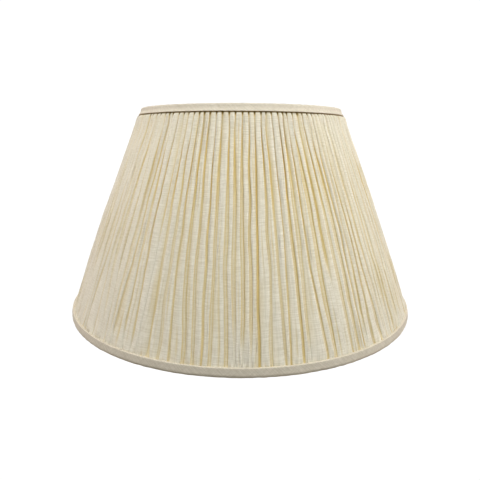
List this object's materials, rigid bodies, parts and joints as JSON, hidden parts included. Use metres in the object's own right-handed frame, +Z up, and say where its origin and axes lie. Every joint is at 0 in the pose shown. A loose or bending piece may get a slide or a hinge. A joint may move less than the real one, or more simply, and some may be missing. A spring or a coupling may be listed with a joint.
{
  "type": "gathered empire lamp shade",
  "caption": "Softback empire shade: gathered cloth cover over a wire frame with a washer spider, cloth lining inside, folded bindings round both rims.",
  "frame": {"origin": "centre of the bottom rim's underside, on the floor plane the shade stands on", "axes": "+Z up along the shade's axis of symmetry, from the wide rim to the narrow rim; -Y faces the viewer; one spider arm points along +Y"},
  "size_m": [0.4064, 0.4064, 0.23],
  "materials": {
    "frame_wire": "white enamel coat on round steel wire",
    "washer_plate": "white enamel coat on stamped steel",
    "ring_tape": "plain cotton tape, wound on the slant",
    "lining_cloth": "smooth thin lining cloth, slight sheen",
    "cover_cloth": "slubbed linen and cotton weave, gathered",
    "binding_cloth": "the same cloth cut on the bias, folded and pressed"
  },
  "bodies": {
    "root": {"bottom_ring": "frame_wire", "top_ring": "frame_wire", "rib_1": "frame_wire", "rib_2": "frame_wire", "rib_3": "frame_wire", "rib_4": "frame_wire", "rib_5": "frame_wire", "rib_6": "frame_wire", "rib_7": "frame_wire", "rib_8": "frame_wire", "spider_arm_1": "frame_wire", "spider_arm_2": "frame_wire", "spider_arm_3": "frame_wire", "spider_washer": "washer_plate", "bottom_ring_tape": "ring_tape", "top_ring_tape": "ring_tape", "lining": "lining_cloth", "cover": "cover_cloth", "bottom_binding": "binding_cloth", "top_binding": "binding_cloth"}
  },
  "joints": []
}
